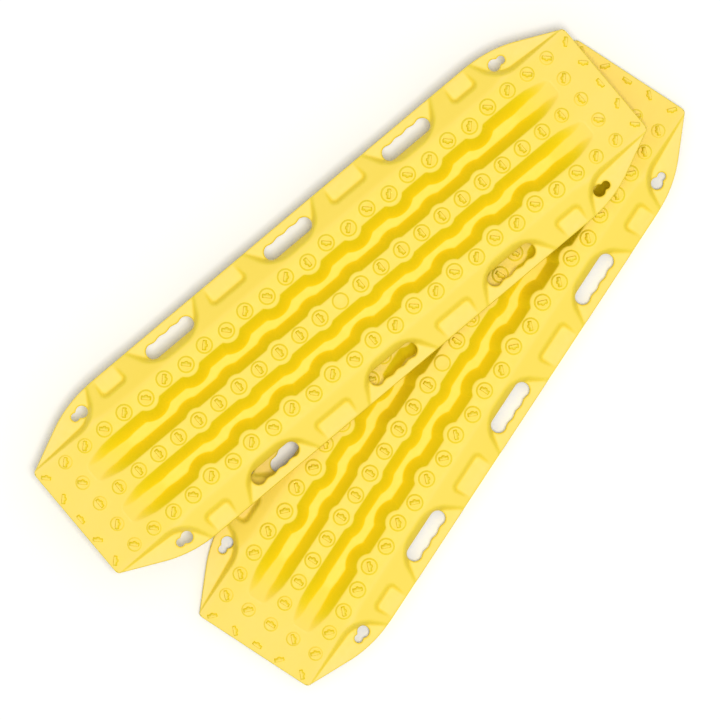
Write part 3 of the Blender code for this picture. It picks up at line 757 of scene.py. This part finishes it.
def moulded_nylon(name):
    """Glass-filled nylon, moulded: a painted pale sheen on level faces, painted deep shade on steep walls,
    satin grain.
    """
    material = bpy.data.materials.new(name)
    material.use_nodes = True
    tree = material.node_tree
    tree.nodes.clear()
    place = node(tree, "ShaderNodeTexCoord").outputs["Object"]
    stretched = node(tree, "ShaderNodeMapping", {"Scale": (0.12, 1, 1)}, Vector=place).outputs[0]
    flow = node(tree, "ShaderNodeTexNoise", {"Scale": 1 / FLOW, "Detail": 3.0}, Vector=stretched)
    sparked = {"Scale": 1 / GRAIN, "Detail": 4.0, "Roughness": 0.6}
    grain = node(tree, "ShaderNodeTexNoise", sparked, Vector=place)
    rub = node(tree, "ShaderNodeTexNoise", {"Scale": 1 / RUB, "Detail": 5.0}, Vector=place)
    # The painted light attribute mixes the painted shade colour towards the painted sheen colour.
    painted_light = node(tree, "ShaderNodeAttribute", {"attribute_name": "painted_light"}).outputs["Fac"]
    sheen_colours = {"data_type": "RGBA", 6: linear(SHEEN_YELLOW), 7: linear(FLOW_SHEEN_YELLOW)}
    sheen_face = node(tree, "ShaderNodeMix", sheen_colours, _0=flow.outputs["Fac"]).outputs[2]
    shade_colour = {"data_type": "RGBA", "clamp_factor": False, 6: linear(SHADE_YELLOW)}
    tint = node(tree, "ShaderNodeMix", shade_colour, _0=painted_light, _7=sheen_face).outputs[2]
    satin = {"From Min": 0.3, "From Max": 0.7, "To Min": 0.54, "To Max": 0.64}
    gloss = node(tree, "ShaderNodeMapRange", satin, Value=rub.outputs["Fac"]).outputs[0]
    relief = {"Strength": 0.12, "Distance": 0.05 * MM}
    bump = node(tree, "ShaderNodeBump", relief, Height=grain.outputs["Fac"]).outputs[0]
    shader = node(tree, "ShaderNodeBsdfPrincipled", {"IOR": 1.53, "Specular IOR Level": 0.4},
                  Base_Color=tint, Roughness=gloss, Normal=bump)
    end = node(tree, "ShaderNodeOutputMaterial")
    tree.links.new(shader.outputs[0], end.inputs["Surface"])
    return material


# %% [markdown]
# ## Both boards
#
# The boards come out of the same tool, so they are made from the same points and differ only in place. Each
# piece rides on its board's body, so the upper board can be lifted, and stands in for that board's plain CAD.

# %% Make the pieces
for board, place in PLACES.items():
    nylon = moulded_nylon(board + "_glass_filled_nylon")
    for part, (points, faces) in (("shell", SHELL), ("studs", STUDS)):
        piece = make_piece(f"{board}_{part}", points, faces, place)
        piece.data.materials.append(nylon)
        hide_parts(board)
        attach(piece, board)
        print(piece.name, "rides on", board)

# %% [markdown]
# ## Floor, light and camera
#
# The boards lie on a plain pale floor in a bright, even studio light, seen from straight above as under an
# overcast sky. One large soft light hangs almost overhead, moved a little to the front, so that the walls that
# face it are a shade brighter than those that face away.

# %% Floor and light
def pale_floor(half):
    """One large square, half its side given, at the height on which the boards stand."""
    mesh = bpy.data.meshes.new("floor")
    corners = [(-half, -half, 0), (half, -half, 0), (half, half, 0), (-half, half, 0)]
    mesh.from_pydata(corners, [], [(0, 1, 2, 3)])
    floor = bpy.data.objects.new("floor", mesh)
    bpy.context.scene.collection.objects.link(floor)
    material = bpy.data.materials.new("painted_floor")
    material.use_nodes = True
    shader = material.node_tree.nodes["Principled BSDF"]
    shader.inputs["Base Color"].default_value = linear("FCFCFB")
    shader.inputs["Roughness"].default_value = 0.9
    mesh.materials.append(material)


def soft_light(name, direction, distance, size, power, target):
    """A square area light that looks at the target from a direction."""
    data = bpy.data.lights.new(name, "AREA")
    data.shape, data.size, data.energy = "SQUARE", size, power
    lamp = bpy.data.objects.new(name, data)
    bpy.context.scene.collection.objects.link(lamp)
    away = Vector(direction).normalized()
    lamp.location = target + away * distance
    lamp.rotation_euler = away.to_track_quat("Z", "Y").to_euler()


pale_floor(6.0)
world = bpy.data.worlds.new("overcast")
bpy.context.scene.world = world
world.use_nodes = True
sky = world.node_tree.nodes["Background"]
sky.inputs["Color"].default_value = linear("FFFFFF")
sky.inputs["Strength"].default_value = 0.52

# %% [markdown]
# The camera looks straight down from far off through a long lens, so the sides of the boards hardly show. It is
# turned so that the boards lie askew in the view.

# %% Camera
LOWER = PLACES["lower_board"].translation
IMAGE_RIGHT, IMAGE_UP = Vector((0.548, -0.836, 0)).normalized(), Vector((0.836, 0.548, 0)).normalized()
AIM = Vector((LOWER.x - 71.0 * MM, LOWER.y + 117.3 * MM, 50 * MM))
DISTANCE, FRAME_WIDTH, SENSOR = 12.0, 1.198, 36.0

soft_light("overhead softbox", Vector((-0.03, -0.09, 1.0)), 14.0, 3.4, 1130.0, AIM)

lens = bpy.data.cameras.new("camera")
lens.sensor_width, lens.lens = SENSOR, SENSOR * DISTANCE / FRAME_WIDTH
lens.clip_end = 100
camera = bpy.data.objects.new("camera", lens)
bpy.context.scene.collection.objects.link(camera)
axes = Matrix((IMAGE_RIGHT, IMAGE_UP, Vector((0, 0, 1)))).transposed().to_4x4()
camera.matrix_world = Matrix.Translation(AIM + Vector((0, 0, DISTANCE))) @ axes
bpy.context.scene.camera = camera
bpy.context.scene.view_settings.view_transform = "Standard"
